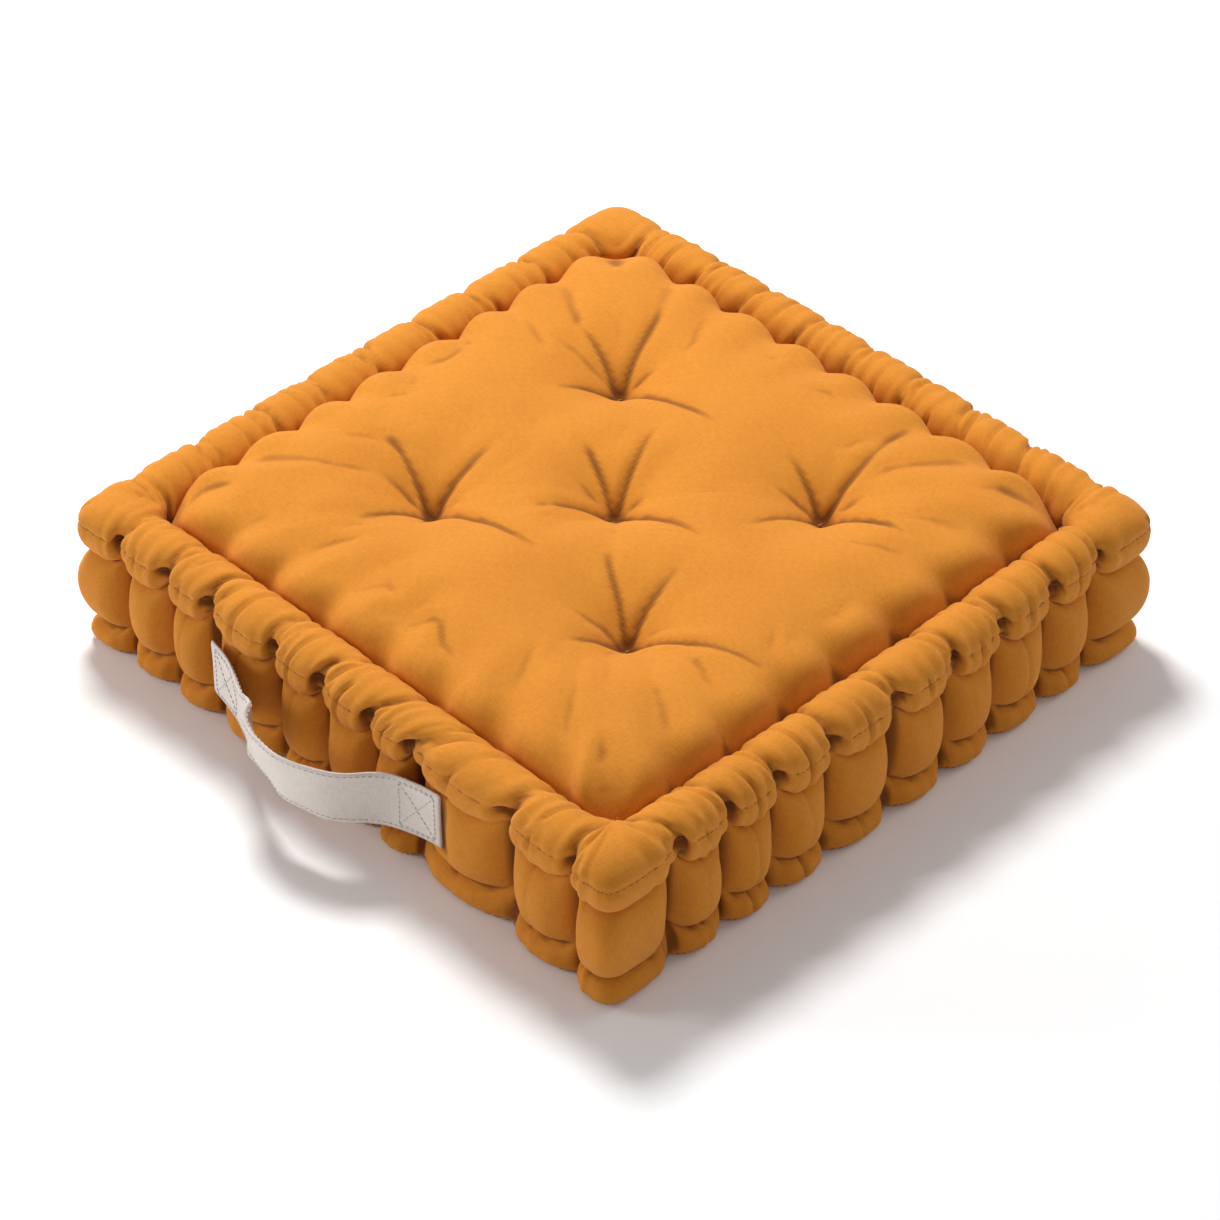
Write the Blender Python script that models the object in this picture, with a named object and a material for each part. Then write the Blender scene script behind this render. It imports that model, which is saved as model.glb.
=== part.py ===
"""Square mattress-tufted floor cushion with a canvas carrying handle.

Two square fabric panels and one side band are sewn together along the edges.
A loose fibre filling fills the cover. A twine stitched round each edge draws a
round roll out of the filling, and five twine tufts pull the two panels together.
A flat canvas strap is sewn to one side and stands off it as a carrying handle.

Units are metres, +Z is up. The cushion lies on z = 0 and its handle is at -Y.
"""

import math

import bmesh
import bpy
from mathutils import Vector
from mathutils.geometry import delaunay_2d_cdt

# Overall sizes
SIDE_LENGTH = 0.450  # from seam to opposite seam
TOTAL_HEIGHT = 0.108  # from the floor to the crest of the top roll
INNER_CORNER_RADIUS = 0.012  # plan radius of the groove inside a roll

# Cover
FABRIC_THICKNESS = 0.0010
CLEARANCE = 0.0003  # between pieces that touch
ROLL_WIDTH = 0.030  # from the seam in to the groove behind the roll
SEAM_DROP = 0.013  # top seam below the top roll's crest
TOP_GROOVE_DROP = 0.0175  # groove on the top panel, below the crest
SIDE_GROOVE_DROP = 0.0355  # groove on the side band, below the crest
SIDE_GROOVE_DEPTH = 0.010
PANEL_DROP = 0.008  # top panel's flat level, below the crest
GROOVE_RISE = 0.0065  # plan width of the slope from a groove to the panel's level
BELLY_SHOULDER = 0.0125  # height of the slope between the side groove and the belly
BOTTOM_SEAM_HEIGHT = 0.010
LOWER_GROOVE_HEIGHT = 0.019
LOWER_GROOVE_DEPTH = 0.009
BOTTOM_GROOVE_HEIGHT = 0.0055

# Twine that draws the rolls
TWINE_RADIUS = 0.0006
TWINE_LIFT = 0.0019  # middle of the twine above the middle of a groove's floor
PINCHES_PER_SIDE = 9
PINCH_MARGIN = 0.003  # from the last pinch of a side to the start of the corner
PINCH_HOLE_WIDTH = 0.0022
PINCH_HOLE_LENGTH = 0.0030

# Seam threads
SEAM_THREAD_SIZE = 0.0005

# Tufts
TUFT_SPACING = 0.082  # from the centre tuft to the others, along X and along Y
TUFT_DIMPLE_RADIUS = 0.030
TOP_DIMPLE_DEPTH = 0.010
BOTTOM_DIMPLE_DEPTH = 0.006
TUFT_HOLE_RADIUS = 0.0015
TUFT_KNOT_RADIUS = 0.0025
TUFT_KNOT_HEIGHT = 0.0018
TUFT_KNOT_LIFT = 0.0012  # knot above the edge of its hole

# Handle
STRAP_WIDTH = 0.040
STRAP_THICKNESS = 0.0020  # canvas folded double
STRAP_HEIGHT = 0.049  # middle of the strap above the floor
STRAP_END_LENGTH = 0.032  # length of each end that is sewn flat on the side
STRAP_LEFT_FOOT = -0.084  # where the strap leaves the side on the left
STRAP_RIGHT_FOOT = 0.050  # and on the right
HINGE_LEFT = -0.061
HINGE_RIGHT = 0.031
# Plan route of the free strap between the two hinge points, as (x, distance out)
LOOP_ROUTE = [(0.012, 0.032), (-0.016, 0.039), (-0.042, 0.034)]
ROUTE_STEPS = 4  # straight pieces between two route points
STITCH_BAR = 0.0008  # width and thickness of the sewn box and cross
STITCH_MARGIN = 0.004  # from the strap's edge to the sewn box

CORNER_STEPS = 3

HALF_SIDE = SIDE_LENGTH / 2
CORNER_RADIUS = ROLL_WIDTH + INNER_CORNER_RADIUS
CORNER_CENTRE = HALF_SIDE - CORNER_RADIUS
PINCH_PITCH = 2 * (CORNER_CENTRE - PINCH_MARGIN) / (PINCHES_PER_SIDE - 1)
STRAP_SURFACE = HALF_SIDE + CLEARANCE + STRAP_THICKNESS / 2  # middle of a sewn end
HINGE_STANDOFF = STRAP_WIDTH / 2  # from the sewn ends out to the line the loop swings about
HANDLE_REACH = STRAP_SURFACE - HALF_SIDE + max(out for _, out in LOOP_ROUTE) + STRAP_THICKNESS / 2
FRAME_SHIFT = HANDLE_REACH / 2  # puts the origin under the middle of the whole box

COTTON = (0.78, 0.30, 0.05)
COTTON_THREAD = (0.62, 0.22, 0.03)
FIBRE = (0.85, 0.83, 0.78)
CANVAS = (0.80, 0.76, 0.69)


# Sections: points are (inset from the seam, height), running from the seam inwards


def unit(vector):
    """Return a plane vector at length one."""
    length = math.hypot(vector[0], vector[1])
    return (vector[0] / length, vector[1] / length)


def groove_floor(middle, through):
    """Two points of a groove's floor, square to the direction the twine goes through it."""
    half = PINCH_HOLE_LENGTH / 2
    along = (through[1] * half, -through[0] * half)
    first = (middle[0] - along[0], middle[1] - along[1])
    second = (middle[0] + along[0], middle[1] + along[1])
    return [first, second]


TOP_GROOVE = (ROLL_WIDTH, TOTAL_HEIGHT - TOP_GROOVE_DROP)
SIDE_GROOVE = (SIDE_GROOVE_DEPTH, TOTAL_HEIGHT - SIDE_GROOVE_DROP)
LOWER_GROOVE = (LOWER_GROOVE_DEPTH, LOWER_GROOVE_HEIGHT)
BOTTOM_GROOVE = (ROLL_WIDTH, BOTTOM_GROOVE_HEIGHT)
TOP_THROUGH = unit((TOP_GROOVE[0] - SIDE_GROOVE[0], TOP_GROOVE[1] - SIDE_GROOVE[1]))
BOTTOM_THROUGH = unit((BOTTOM_GROOVE[0] - LOWER_GROOVE[0], BOTTOM_GROOVE[1] - LOWER_GROOVE[1]))

TOP_LEVEL = TOTAL_HEIGHT - PANEL_DROP
TOP_SEAM = TOTAL_HEIGHT - SEAM_DROP
BELLY_TOP = SIDE_GROOVE[1] - BELLY_SHOULDER
BELLY_BOTTOM = LOWER_GROOVE_HEIGHT + (BELLY_SHOULDER - PINCH_HOLE_LENGTH)


def top_panel_section():
    """Outer face of the top panel, from the seam over the roll to the panel's level."""
    seam = (0.0, TOP_SEAM + CLEARANCE / 2)
    shoulder = (ROLL_WIDTH * 0.13, TOTAL_HEIGHT - SEAM_DROP * 0.3)
    crest = (ROLL_WIDTH * 0.5, TOTAL_HEIGHT)
    fall = (ROLL_WIDTH * 0.83, TOTAL_HEIGHT - TOP_GROOVE_DROP * 0.34)
    level = (ROLL_WIDTH + GROOVE_RISE, TOP_LEVEL)
    return [seam, shoulder, crest, fall] + groove_floor(TOP_GROOVE, TOP_THROUGH) + [level]


def bottom_panel_section():
    """Outer face of the bottom panel, from the seam to the flat that lies on the floor."""
    seam = (0.0, BOTTOM_SEAM_HEIGHT - CLEARANCE / 2)
    touch = (ROLL_WIDTH * 0.3, 0.0)
    lift = (ROLL_WIDTH * 0.76, 0.0)
    level = (ROLL_WIDTH + GROOVE_RISE, 0.0)
    floor = groove_floor(BOTTOM_GROOVE, BOTTOM_THROUGH)
    return [seam, touch, lift, floor[1], floor[0], level]


def side_band_section():
    """Outer face of the side band, from the top seam down to the bottom seam."""
    top = (0.0, TOP_SEAM - CLEARANCE / 2)
    under_roll = (SIDE_GROOVE_DEPTH * 0.2, (TOP_SEAM + SIDE_GROOVE[1]) / 2)
    belly = [(0.0, BELLY_TOP), (0.0, BELLY_BOTTOM)]
    bottom = (0.0, BOTTOM_SEAM_HEIGHT + CLEARANCE / 2)
    upper_floor = groove_floor(SIDE_GROOVE, TOP_THROUGH)
    lower_floor = groove_floor(LOWER_GROOVE, BOTTOM_THROUGH)
    return [top, under_roll] + upper_floor + belly + lower_floor + [bottom]


def inward(section, distance, side, first_end=None, last_end=None):
    """Move a section by a distance into the cushion.

    side is 1 where the inside lies to the right of the section's direction and -1
    where it lies to the left. first_end and last_end fix the direction of an end.
    """
    moved = []
    for index, point in enumerate(section):
        normals = []
        if index > 0:
            normals.append(edge_normal(section[index - 1], point, side))
        if index < len(section) - 1:
            normals.append(edge_normal(point, section[index + 1], side))
        middle = unit((sum(n[0] for n in normals), sum(n[1] for n in normals)))
        stretch = 1 / (middle[0] * normals[0][0] + middle[1] * normals[0][1])
        if index == 0 and first_end is not None:
            middle, stretch = first_end, 1
        if index == len(section) - 1 and last_end is not None:
            middle, stretch = last_end, 1
        step = distance * stretch
        moved.append((point[0] + middle[0] * step, point[1] + middle[1] * step))
    return moved


def edge_normal(start, end, side):
    """Unit normal of one edge of a section."""
    along = unit((end[0] - start[0], end[1] - start[1]))
    return (along[1] * side, -along[0] * side)


HORIZONTAL = (1.0, 0.0)
DOWN = (0.0, -1.0)
UP = (0.0, 1.0)


def top_panel_inside(distance):
    """The top panel's section moved into the cushion."""
    return inward(top_panel_section(), distance, 1, HORIZONTAL, DOWN)


def bottom_panel_inside(distance):
    """The bottom panel's section moved into the cushion."""
    return inward(bottom_panel_section(), distance, -1, HORIZONTAL, UP)


def side_band_inside(distance):
    """The side band's section moved into the cushion."""
    return inward(side_band_section(), distance, -1, HORIZONTAL, HORIZONTAL)


# Plan stations: each gives the point and the outward direction at any inset


def side_positions(with_pinches):
    """Places along one straight side, with both edges of each pinch hole if asked."""
    places = [-CORNER_CENTRE]
    if with_pinches:
        for number in range(PINCHES_PER_SIDE):
            middle = PINCH_PITCH * (number - (PINCHES_PER_SIDE - 1) / 2)
            places.append(middle - PINCH_HOLE_WIDTH / 2)
            places.append(middle + PINCH_HOLE_WIDTH / 2)
    places.append(CORNER_CENTRE)
    return places


def stations(with_pinches):
    """All stations anticlockwise round the cushion.

    Each is (anchor, outward direction, distance from the anchor to the seam).
    """
    found = []
    for side in range(4):
        turn = side * math.pi / 2
        outward = Vector((math.sin(turn), -math.cos(turn)))
        along = Vector((math.cos(turn), math.sin(turn)))
        for place in side_positions(with_pinches):
            found.append((along * place + outward * CORNER_CENTRE, outward, CORNER_RADIUS))
        corner = (along + outward) * CORNER_CENTRE
        for step in range(1, CORNER_STEPS):
            angle = turn + math.pi / 2 * step / CORNER_STEPS
            direction = Vector((math.sin(angle), -math.cos(angle)))
            found.append((corner, direction, CORNER_RADIUS))
    return found


def station_point(station, inset, height):
    """A point of a station, at an inset from the seam and a height."""
    anchor, outward, reach = station
    place = anchor + outward * (reach - inset)
    return Vector((place.x, place.y, height))


def hole_cells():
    """Indices of the stations that start a pinch hole, in order round the cushion."""
    cells = []
    per_side = 2 * PINCHES_PER_SIDE + 2 + CORNER_STEPS - 1
    for side in range(4):
        for number in range(PINCHES_PER_SIDE):
            cells.append(side * per_side + 1 + 2 * number)
    return cells


# Mesh building


def add_rings(mesh, plan, section):
    """Add one closed ring of vertices for each point of a section."""
    rings = []
    for inset, height in section:
        rings.append([mesh.verts.new(station_point(s, inset, height)) for s in plan])
    return rings


def skin_rings(mesh, rings, skipped=()):
    """Join following rings with four-sided faces, leaving out the skipped cells."""
    for row in range(len(rings) - 1):
        upper, lower = rings[row], rings[row + 1]
        for cell in range(len(upper)):
            if (row, cell) in skipped:
                continue
            after = (cell + 1) % len(upper)
            mesh.faces.new((upper[cell], upper[after], lower[after], lower[cell]))


def line_holes(mesh, outer, inner, skipped):
    """Wall the pinch holes between an outer and an inner skin."""
    for row, cell in skipped:
        after = cell + 1
        corners = [(row, cell), (row, after), (row + 1, after), (row + 1, cell)]
        for index, start in enumerate(corners):
            end = corners[(index + 1) % 4]
            outside = (outer[start[0]][start[1]], outer[end[0]][end[1]])
            inside = (inner[end[0]][end[1]], inner[start[0]][start[1]])
            mesh.faces.new(outside + inside)


def tuft_places():
    """Plan positions of the five tufts."""
    places = {"centre": (0.0, 0.0)}
    for row, sign_y in (("front", -1), ("back", 1)):
        for column, sign_x in (("left", -1), ("right", 1)):
            places[f"{row}_{column}"] = (sign_x * TUFT_SPACING, sign_y * TUFT_SPACING)
    return places


def dimple(x, y):
    """Share of the full dimple depth at a place, from 0 outside to 1 at a tuft."""
    near = min(math.hypot(x - tx, y - ty) for tx, ty in tuft_places().values())
    return max(0.0, 1 - near / TUFT_DIMPLE_RADIUS) ** 2


def add_cap(mesh, ring, level, depth):
    """Fill the area inside a ring, sunk at the tufts, and return the rings of the tuft holes."""
    points = [vertex.co.xy.copy() for vertex in ring]
    border = list(range(len(points)))
    edges = []
    hole_rings = []
    for tx, ty in tuft_places().values():
        for radius, count in ((TUFT_HOLE_RADIUS, 6), (TUFT_DIMPLE_RADIUS / 2, 8), (TUFT_DIMPLE_RADIUS, 10)):
            first = len(points)
            for step in range(count):
                angle = 2 * math.pi * step / count
                points.append(Vector((tx + radius * math.cos(angle), ty + radius * math.sin(angle))))
                edges.append((first + step, first + (step + 1) % count))
            if radius == TUFT_HOLE_RADIUS:
                hole_rings.append(range(first, first + count))
    result = delaunay_2d_cdt(points, edges, [border], 1, 1e-7)
    flat_points, faces, origins = result[0], result[2], result[3]
    vertices = []
    by_origin = {}
    for place, origin in zip(flat_points, origins):
        if origin[0] < len(ring):
            vertex = ring[origin[0]]
        else:
            vertex = mesh.verts.new((place.x, place.y, level + depth * dimple(place.x, place.y)))
        vertices.append(vertex)
        by_origin[origin[0]] = vertex
    for face in faces:
        centre = sum((flat_points[i] for i in face), Vector((0, 0))) / len(face)
        near = min((centre - Vector(place)).length for place in tuft_places().values())
        if near > TUFT_HOLE_RADIUS:
            mesh.faces.new([vertices[i] for i in face])
    return [[by_origin[i] for i in hole] for hole in hole_rings]


def join_holes(mesh, first_holes, second_holes):
    """Wall the tuft holes between two caps."""
    for first, second in zip(first_holes, second_holes):
        for index in range(len(first)):
            after = (index + 1) % len(first)
            mesh.faces.new((first[index], first[after], second[after], second[index]))


def finish(mesh, name, material, smooth=False):
    """Turn a bmesh into a named object with its material."""
    bmesh.ops.recalc_face_normals(mesh, faces=mesh.faces)
    data = bpy.data.meshes.new(name)
    mesh.to_mesh(data)
    mesh.free()
    if smooth:
        data.shade_smooth()
        data.set_sharp_from_angle(angle=math.radians(40))
    return add_object(name, data, material)


def add_object(name, data, material):
    """Link mesh or curve data as an object under the cushion's frame."""
    data.materials.append(material)
    added = bpy.data.objects.new(name, data)
    bpy.context.scene.collection.objects.link(added)
    added.parent = bpy.data.objects["cushion_frame"]
    return added


def make_material(name, colour, roughness):
    """A plain matte material."""
    material = bpy.data.materials.new(name)
    material.use_nodes = True
    shader = material.node_tree.nodes["Principled BSDF"]
    shader.inputs["Base Color"].default_value = (*colour, 1.0)
    shader.inputs["Roughness"].default_value = roughness
    shader.inputs["Metallic"].default_value = 0.0
    return material


# Cover


def make_panel(name, outside, inside, level, depth, material):
    """A panel: a skin of fabric with pinch holes in its groove and holes at the tufts."""
    mesh = bmesh.new()
    plan = stations(True)
    outer = add_rings(mesh, plan, outside)
    inner = add_rings(mesh, plan, inside)
    groove_row = len(outside) - 3
    skipped = [(groove_row, cell) for cell in hole_cells()]
    skin_rings(mesh, outer, skipped)
    skin_rings(mesh, inner, skipped)
    line_holes(mesh, outer, inner, skipped)
    skin_rings(mesh, [outer[0], inner[0]])
    inner_level = level + math.copysign(FABRIC_THICKNESS, depth)
    outer_holes = add_cap(mesh, outer[-1], level, depth)
    inner_holes = add_cap(mesh, inner[-1], inner_level, depth)
    join_holes(mesh, outer_holes, inner_holes)
    return finish(mesh, name, material)


def make_side_band(material):
    """The side band: one strip of fabric round all four sides, pinched in two grooves."""
    mesh = bmesh.new()
    plan = stations(True)
    outer = add_rings(mesh, plan, side_band_section())
    inner = add_rings(mesh, plan, side_band_inside(FABRIC_THICKNESS))
    upper_row, lower_row = 2, 6
    skipped = [(row, cell) for row in (upper_row, lower_row) for cell in hole_cells()]
    skin_rings(mesh, outer, skipped)
    skin_rings(mesh, inner, skipped)
    line_holes(mesh, outer, inner, skipped)
    skin_rings(mesh, [outer[0], inner[0]])
    skin_rings(mesh, [outer[-1], inner[-1]])
    return finish(mesh, "side_band", material)


# Filling


def make_core_filling(material):
    """The filling inside the two stitched grooves, with a channel for each tuft."""
    inset = FABRIC_THICKNESS + CLEARANCE
    top = top_panel_inside(inset)
    side = side_band_inside(inset)
    bottom = bottom_panel_inside(inset)
    section = [top[-1], top[-2]] + side[3:7] + [bottom[-2], bottom[-1]]
    mesh = bmesh.new()
    rings = add_rings(mesh, stations(False), section)
    skin_rings(mesh, rings)
    top_holes = add_cap(mesh, rings[0], section[0][1], -TOP_DIMPLE_DEPTH)
    bottom_holes = add_cap(mesh, rings[-1], section[-1][1], BOTTOM_DIMPLE_DEPTH)
    join_holes(mesh, top_holes, bottom_holes)
    return finish(mesh, "core_filling", material)


def make_roll_filling(name, section, material):
    """The filling of one roll: a closed section carried round the cushion."""
    mesh = bmesh.new()
    rings = add_rings(mesh, stations(False), section)
    skin_rings(mesh, rings + [rings[0]])
    return finish(mesh, name, material)


def seam_room():
    """Inset of a roll's filling behind the seam thread."""
    return FABRIC_THICKNESS + SEAM_THREAD_SIZE + 3 * CLEARANCE


def top_roll_section():
    """Section of the top roll's filling."""
    inset = FABRIC_THICKNESS + CLEARANCE
    panel = top_panel_inside(inset)
    band = side_band_inside(inset)
    return [(seam_room(), TOP_SEAM)] + panel[1:5] + [band[2], band[1]]


def bottom_roll_section():
    """Section of the bottom roll's filling."""
    inset = FABRIC_THICKNESS + CLEARANCE
    panel = bottom_panel_inside(inset)
    band = side_band_inside(inset)
    return [(seam_room(), BOTTOM_SEAM_HEIGHT)] + panel[1:4] + [band[7]]


# Threads


def make_seam_thread(name, height, material):
    """The thread of one seam, lying behind the edges that it joins."""
    near = FABRIC_THICKNESS + CLEARANCE
    far = near + SEAM_THREAD_SIZE
    half = SEAM_THREAD_SIZE / 2
    section = [(near, height + half), (far, height + half), (far, height - half), (near, height - half)]
    mesh = bmesh.new()
    rings = add_rings(mesh, stations(False), section)
    skin_rings(mesh, rings + [rings[0]])
    return finish(mesh, name, material)


def make_tube(name, points, radius, closed, material):
    """A twine that follows a chain of points."""
    data = bpy.data.curves.new(name, "CURVE")
    data.dimensions = "3D"
    data.bevel_depth = radius
    data.bevel_resolution = 0
    data.use_fill_caps = not closed
    spline = data.splines.new("POLY")
    spline.points.add(len(points) - 1)
    for target, point in zip(spline.points, points):
        target.co = (*point, 1.0)
    spline.use_cyclic_u = closed
    return add_object(name, data, material)


def out_of_groove(groove, before, after):
    """Where the twine lies in a groove: lifted midway between the groove's two walls."""
    walls = [unit((wall[0] - groove[0], wall[1] - groove[1])) for wall in (before, after)]
    mouth = unit((walls[0][0] + walls[1][0], walls[0][1] + walls[1][1]))
    return (groove[0] + mouth[0] * TWINE_LIFT, groove[1] + mouth[1] * TWINE_LIFT)


def make_roll_twine(name, side_groove, side_walls, panel_groove, panel_walls, material):
    """The twine of one roll: through the filling at each pinch, along a groove between them."""
    plan = stations(True)
    side_point = out_of_groove(side_groove, *side_walls)
    panel_point = out_of_groove(panel_groove, *panel_walls)
    through = [side_point, side_groove, panel_groove, panel_point]
    points = []
    for number, cell in enumerate(hole_cells()):
        anchor = (plan[cell][0] + plan[cell + 1][0]) / 2
        pinch = (anchor, plan[cell][1], plan[cell][2])
        passed = through if number % 2 == 0 else through[::-1]
        for place in passed:
            points.append(station_point(pinch, *place))
        last_of_side = number % PINCHES_PER_SIDE == PINCHES_PER_SIDE - 1
        if last_of_side:
            for step in range(2, CORNER_STEPS + 3):
                station = plan[(cell + step) % len(plan)]
                points.append(station_point(station, *passed[-1]))
    return make_tube(name, points, TWINE_RADIUS, True, material)


def make_tuft_twine(name, place, material):
    """The twine of one tuft: straight through the cushion with a flat knot at each end."""
    edge = dimple(TUFT_HOLE_RADIUS, 0.0)
    top_knot = TOP_LEVEL - TOP_DIMPLE_DEPTH * edge + TUFT_KNOT_LIFT
    bottom_knot = BOTTOM_DIMPLE_DEPTH * edge - TUFT_KNOT_LIFT
    profile = [
        (0.0, top_knot + TUFT_KNOT_HEIGHT),
        (TUFT_KNOT_RADIUS * 0.7, top_knot + TUFT_KNOT_HEIGHT * 0.8),
        (TUFT_KNOT_RADIUS, top_knot + TUFT_KNOT_HEIGHT * 0.4),
        (TWINE_RADIUS, top_knot),
        (TWINE_RADIUS, bottom_knot),
        (TUFT_KNOT_RADIUS, bottom_knot - TUFT_KNOT_HEIGHT * 0.4),
        (TUFT_KNOT_RADIUS * 0.7, bottom_knot - TUFT_KNOT_HEIGHT * 0.8),
        (0.0, bottom_knot - TUFT_KNOT_HEIGHT),
    ]
    mesh = bmesh.new()
    chain = [mesh.verts.new((radius, 0.0, height)) for radius, height in profile]
    edges = [mesh.edges.new(pair) for pair in zip(chain, chain[1:])]
    bmesh.ops.spin(
        mesh, geom=chain + edges, axis=(0, 0, 1), cent=(0, 0, 0),
        steps=8, angle=2 * math.pi, use_merge=True,
    )
    bmesh.ops.remove_doubles(mesh, verts=mesh.verts, dist=1e-6)
    added = finish(mesh, name, material, smooth=True)
    added.location = (*place, 0.0)
    return added


# Handle


def curve_between(before, start, end, after, share):
    """Point of a Catmull-Rom curve between start and end."""
    square, cube = share**2, share**3
    place = []
    for p0, p1, p2, p3 in zip(before, start, end, after):
        turn = (p2 - p0) * share + (2 * p0 - 5 * p1 + 4 * p2 - p3) * square
        place.append(p1 + (turn + (3 * p1 - p0 - 3 * p2 + p3) * cube) / 2)
    return tuple(place)


def strap_route():
    """Plan route of the whole strap from its right end to its left, as (x, distance out)."""
    knots = [
        (STRAP_RIGHT_FOOT + STRAP_END_LENGTH, 0.0),
        (STRAP_RIGHT_FOOT, 0.0),
        (HINGE_RIGHT, HINGE_STANDOFF),
        *LOOP_ROUTE,
        (HINGE_LEFT, HINGE_STANDOFF),
        (STRAP_LEFT_FOOT, 0.0),
        (STRAP_LEFT_FOOT - STRAP_END_LENGTH, 0.0),
    ]
    route = [knots[0]]
    for index in range(1, len(knots) - 2):
        around = knots[index - 1:index + 3]
        for step in range(ROUTE_STEPS):
            route.append(curve_between(*around, step / ROUTE_STEPS))
    route.append(knots[-2])
    route.append(knots[-1])
    return route


def make_strap_piece(name, route, cut_first, cut_last, material):
    """A length of the strap; a cut end is square to X and keeps half the clearance."""
    mesh = bmesh.new()
    sections = []
    last = len(route) - 1
    for index, (x, out) in enumerate(route):
        start, end = route[max(index - 1, 0)], route[min(index + 1, last)]
        along = unit((end[0] - start[0], end[1] - start[1]))
        across = (along[1], -along[0])
        cut = (index == 0 and cut_first) or (index == last and cut_last)
        if cut:
            across = (0.0, 1 / across[1])
            inner = route[1] if index == 0 else route[last - 1]
            x += math.copysign(CLEARANCE / 2, inner[0] - x)
        corners = []
        for side, rise in ((1, 1), (1, -1), (-1, -1), (-1, 1)):
            px = x + across[0] * side * STRAP_THICKNESS / 2
            py = -(STRAP_SURFACE + out + across[1] * side * STRAP_THICKNESS / 2)
            corners.append(mesh.verts.new((px, py, STRAP_HEIGHT + rise * STRAP_WIDTH / 2)))
        sections.append(corners)
    for first, second in zip(sections, sections[1:]):
        for index in range(4):
            after = (index + 1) % 4
            mesh.faces.new((first[index], first[after], second[after], second[index]))
    mesh.faces.new(sections[0])
    mesh.faces.new(sections[-1][::-1])
    added = finish(mesh, name, material, smooth=True)
    return added


def make_strap_stitch(name, x_middle, material):
    """The sewn box and cross that hold one end of the strap, as one flat lattice."""
    half_x = STRAP_END_LENGTH / 2 - STITCH_MARGIN
    half_z = STRAP_WIDTH / 2 - STITCH_MARGIN
    corners = [(-half_x, -half_z), (half_x, -half_z), (half_x, half_z), (-half_x, half_z)]
    points = [Vector(corner) for corner in corners]
    loops = [[0, 1, 2, 3]]
    for index in range(4):
        start, end = Vector(corners[index]), Vector(corners[(index + 1) % 4])
        middle = (start + end) / 3
        triangle = []
        for corner in (start, end, Vector((0.0, 0.0))):
            towards = (middle - corner).normalized()
            triangle.append(corner + towards * STITCH_BAR * 2.2)
        first = len(points)
        points.extend(triangle)
        loops.append([first, first + 1, first + 2])
    result = delaunay_2d_cdt(points, [], loops, 1, 1e-7)
    flat_points, faces, origins = result[0], result[2], result[5]
    mesh = bmesh.new()
    y_surface = -(STRAP_SURFACE + STRAP_THICKNESS / 2 + CLEARANCE)
    vertices = [mesh.verts.new((x_middle + p.x, y_surface, STRAP_HEIGHT + p.y)) for p in flat_points]
    for face, origin in zip(faces, origins):
        if origin == [0]:
            mesh.faces.new([vertices[i] for i in face])
    grown = bmesh.ops.extrude_face_region(mesh, geom=list(mesh.faces))
    moved = [item for item in grown["geom"] if isinstance(item, bmesh.types.BMVert)]
    bmesh.ops.translate(mesh, verts=moved, vec=(0.0, -STITCH_BAR, 0.0))
    return finish(mesh, name, material)


def make_handle(canvas, thread):
    """The strap in three lengths, so that its loop can swing, and the stitching of its ends."""
    route = strap_route()
    right_cut = 1 + ROUTE_STEPS
    left_cut = len(route) - 2 - ROUTE_STEPS
    make_strap_piece("handle_end_right", route[:right_cut + 1], False, True, canvas)
    loop = make_strap_piece("handle_loop", route[right_cut:left_cut + 1], True, True, canvas)
    make_strap_piece("handle_end_left", route[left_cut:], True, False, canvas)
    hinge = Vector((0.0, -(STRAP_SURFACE + HINGE_STANDOFF), STRAP_HEIGHT))
    for vertex in loop.data.vertices:
        vertex.co -= hinge
    loop.location = hinge
    half_end = STRAP_END_LENGTH / 2
    make_strap_stitch("handle_stitch_right", STRAP_RIGHT_FOOT + half_end, thread)
    make_strap_stitch("handle_stitch_left", STRAP_LEFT_FOOT - half_end, thread)


def main():
    """Build the whole cushion."""
    for existing in list(bpy.data.objects):
        bpy.data.objects.remove(existing, do_unlink=True)
    frame = bpy.data.objects.new("cushion_frame", None)
    frame.location = (0.0, FRAME_SHIFT, 0.0)
    bpy.context.scene.collection.objects.link(frame)

    cotton = make_material("cotton", COTTON, 0.9)
    thread = make_material("cotton_thread", COTTON_THREAD, 0.85)
    fibre = make_material("fibre_filling", FIBRE, 0.95)
    canvas = make_material("canvas", CANVAS, 0.9)
    canvas_thread = make_material("canvas_thread", CANVAS, 0.8)

    make_panel(
        "top_panel", top_panel_section(), top_panel_inside(FABRIC_THICKNESS),
        TOP_LEVEL, -TOP_DIMPLE_DEPTH, cotton,
    )
    make_panel(
        "bottom_panel", bottom_panel_section(), bottom_panel_inside(FABRIC_THICKNESS),
        0.0, BOTTOM_DIMPLE_DEPTH, cotton,
    )
    make_side_band(cotton)
    make_core_filling(fibre)
    make_roll_filling("top_roll_filling", top_roll_section(), fibre)
    make_roll_filling("bottom_roll_filling", bottom_roll_section(), fibre)
    make_seam_thread("top_seam_thread", TOP_SEAM, thread)
    make_seam_thread("bottom_seam_thread", BOTTOM_SEAM_HEIGHT, thread)
    band = side_band_section()
    top = top_panel_section()
    bottom = bottom_panel_section()
    make_roll_twine(
        "top_roll_twine", SIDE_GROOVE, (band[1], band[4]), TOP_GROOVE, (top[3], top[6]), thread,
    )
    make_roll_twine(
        "bottom_roll_twine", LOWER_GROOVE, (band[5], band[8]),
        BOTTOM_GROOVE, (bottom[2], bottom[5]), thread,
    )
    for corner, place in tuft_places().items():
        make_tuft_twine(f"tuft_twine_{corner}", place, thread)
    make_handle(canvas, canvas_thread)


main()
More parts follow.
